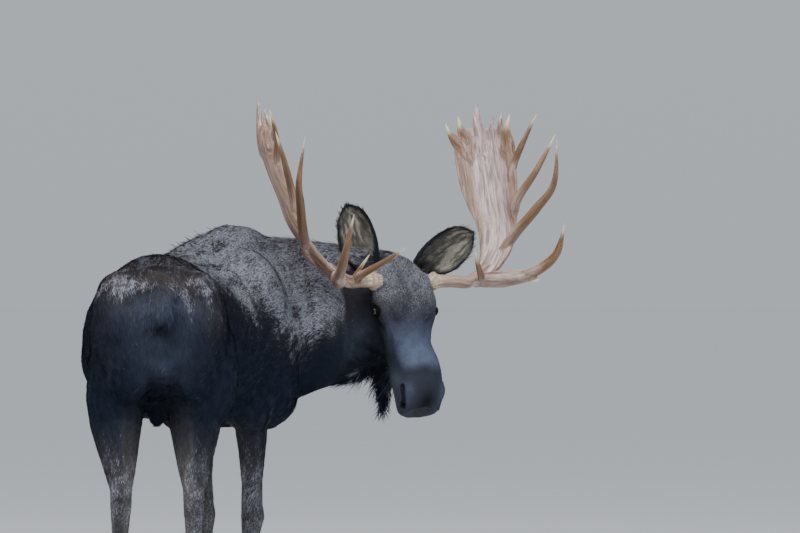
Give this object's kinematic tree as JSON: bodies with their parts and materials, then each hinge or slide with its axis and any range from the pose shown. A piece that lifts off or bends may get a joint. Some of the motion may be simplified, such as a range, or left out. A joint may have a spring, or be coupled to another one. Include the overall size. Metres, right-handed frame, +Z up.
{
  "type": "bull moose",
  "caption": "Life-size bull moose with palmate antlers, standing with its neck bent round so that its head looks back over its right shoulder.",
  "frame": {"origin": "on the floor under the middle of the model's box", "axes": "+Z up from the floor; the trunk runs from the tail at +Y to the chest at -Y, with the animal's left at +X; the neck bends towards -X and the face looks back towards +Y"},
  "size_m": [1.9276, 2.221, 2.325],
  "materials": {
    "hide": "short near-black coat, grizzled on the shoulders and rump",
    "muzzle": "dark fine-haired nose",
    "antler": "dry polished antler, pale on the palms and reddish brown on the tines",
    "hoof": "dark horn",
    "eye": "wet dark brown"
  },
  "bodies": {
    "root": {"trunk": "hide", "neck_lower": "hide", "neck_upper": "hide", "head": "hide", "muzzle": "muzzle", "lower_jaw": "hide", "bell": "hide", "tail": "hide", "ear_left": "hide", "ear_right": "hide", "eye_left": "eye", "eye_right": "eye", "antler_left_beam": "antler", "antler_left_brow": "antler", "antler_left_fore_tine": "antler", "antler_left_palm": "antler", "antler_right_beam": "antler", "antler_right_brow": "antler", "antler_right_fore_tine": "antler", "antler_right_palm": "antler", "leg_fore_left_upper": "hide", "leg_fore_left_lower": "hide", "leg_fore_right_upper": "hide", "leg_fore_right_lower": "hide", "leg_hind_left_upper": "hide", "leg_hind_left_lower": "hide", "leg_hind_right_upper": "hide", "leg_hind_right_lower": "hide", "hoof_fore_left_outer": "hoof", "hoof_fore_left_inner": "hoof", "hoof_fore_right_outer": "hoof", "hoof_fore_right_inner": "hoof", "hoof_hind_left_outer": "hoof", "hoof_hind_left_inner": "hoof", "hoof_hind_right_outer": "hoof", "hoof_hind_right_inner": "hoof", "dewclaw_fore_left_outer": "hoof", "dewclaw_fore_left_inner": "hoof", "dewclaw_fore_right_outer": "hoof", "dewclaw_fore_right_inner": "hoof", "dewclaw_hind_left_outer": "hoof", "dewclaw_hind_left_inner": "hoof", "dewclaw_hind_right_outer": "hoof", "dewclaw_hind_right_inner": "hoof"}
  },
  "joints": []
}
